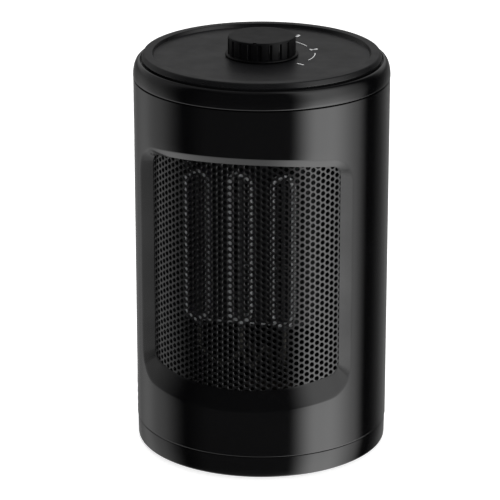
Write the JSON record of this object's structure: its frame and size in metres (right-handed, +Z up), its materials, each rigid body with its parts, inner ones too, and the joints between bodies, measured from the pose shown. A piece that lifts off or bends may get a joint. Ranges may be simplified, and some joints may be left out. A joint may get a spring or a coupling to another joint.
{
  "type": "ceramic space heater",
  "caption": "Upright cylindrical ceramic space heater: curved perforated outlet grille, recessed top panel with one fluted knob, slotted rear intake and rubber feet.",
  "frame": {"origin": "centre of the circle the heater stands on, at the underside of its feet", "axes": "+Z up, the outlet grille faces -Y, +X to the right as seen from the front"},
  "size_m": [0.1502, 0.1502, 0.2487],
  "materials": {
    "gloss_housing": "high-gloss moulded black ABS",
    "panel_plastic": "fine spark-eroded matte black",
    "knob_plastic": "satin moulded dark grey",
    "grille_paint": "satin black enamel on perforated steel",
    "foot_rubber": "moulded black rubber",
    "screw_steel": "zinc-plated",
    "motor_steel": "drawn steel can",
    "spring_steel": "bright spring wire",
    "element_aluminium": "extruded, mill finish",
    "ceramic": "fired grey ceramic",
    "duct_plastic": "glass-filled heat-resistant black",
    "fan_plastic": "moulded dark grey",
    "switch_plastic": "moulded dark grey",
    "lead_sleeve": "woven glass-fibre sleeve"
  },
  "bodies": {
    "housing": {"base_cup": "gloss_housing", "foot_front": "foot_rubber", "foot_right": "foot_rubber", "foot_back": "foot_rubber", "foot_left": "foot_rubber", "front_shell": "gloss_housing", "rear_shell": "gloss_housing", "top_ring": "gloss_housing", "control_panel": "panel_plastic", "cord_inlet": "foot_rubber", "base_screw_1": "screw_steel", "base_screw_2": "screw_steel", "base_screw_3": "screw_steel", "base_screw_4": "screw_steel", "front_grille": "grille_paint", "rotary_switch": "switch_plastic", "switch_nut": "screw_steel", "ptc_element_left": "element_aluminium", "ceramic_strip_left": "ceramic", "ptc_element_centre": "element_aluminium", "ceramic_strip_centre": "ceramic", "ptc_element_right": "element_aluminium", "ceramic_strip_right": "ceramic", "heater_frame": "duct_plastic", "heater_screw_1": "screw_steel", "heater_screw_2": "screw_steel", "heater_screw_3": "screw_steel", "heater_screw_4": "screw_steel", "fan_shroud": "duct_plastic", "motor_bracket": "screw_steel", "bracket_screw_1": "screw_steel", "bracket_screw_2": "screw_steel", "bracket_screw_3": "screw_steel", "bracket_screw_4": "screw_steel", "fan_motor": "motor_steel", "tip_spring": "spring_steel", "tip_switch": "switch_plastic", "thermal_cutout": "motor_steel", "terminal_block": "switch_plastic", "lead_left": "lead_sleeve", "lead_centre": "lead_sleeve", "lead_right": "lead_sleeve"},
    "knob": {"knob": "knob_plastic", "switch_shaft": "switch_plastic"},
    "fan": {"fan_impeller": "fan_plastic", "motor_shaft": "motor_steel", "fan_clip": "screw_steel"},
    "tip_plunger": {"tip_plunger": "switch_plastic"}
  },
  "joints": [
    {"name": "knob_turn", "type": "hinge", "parent": "housing", "child": "knob", "pos_m": [0, 0, 0.2375], "axis": [0, 0, 1], "range_deg": [0, 180]},
    {"name": "fan_spin", "type": "hinge", "parent": "housing", "child": "fan", "pos_m": [0, 0, 0.137], "axis": [0, -1, 0], "continuous": true},
    {"name": "tip_plunger_slide", "type": "slide", "parent": "housing", "child": "tip_plunger", "axis": [0, 0, -1], "range_m": [0, 0.0035], "stiffness_N_per_m": 60, "springref_m": 0.006, "deforming": ["tip_spring"]}
  ]
}
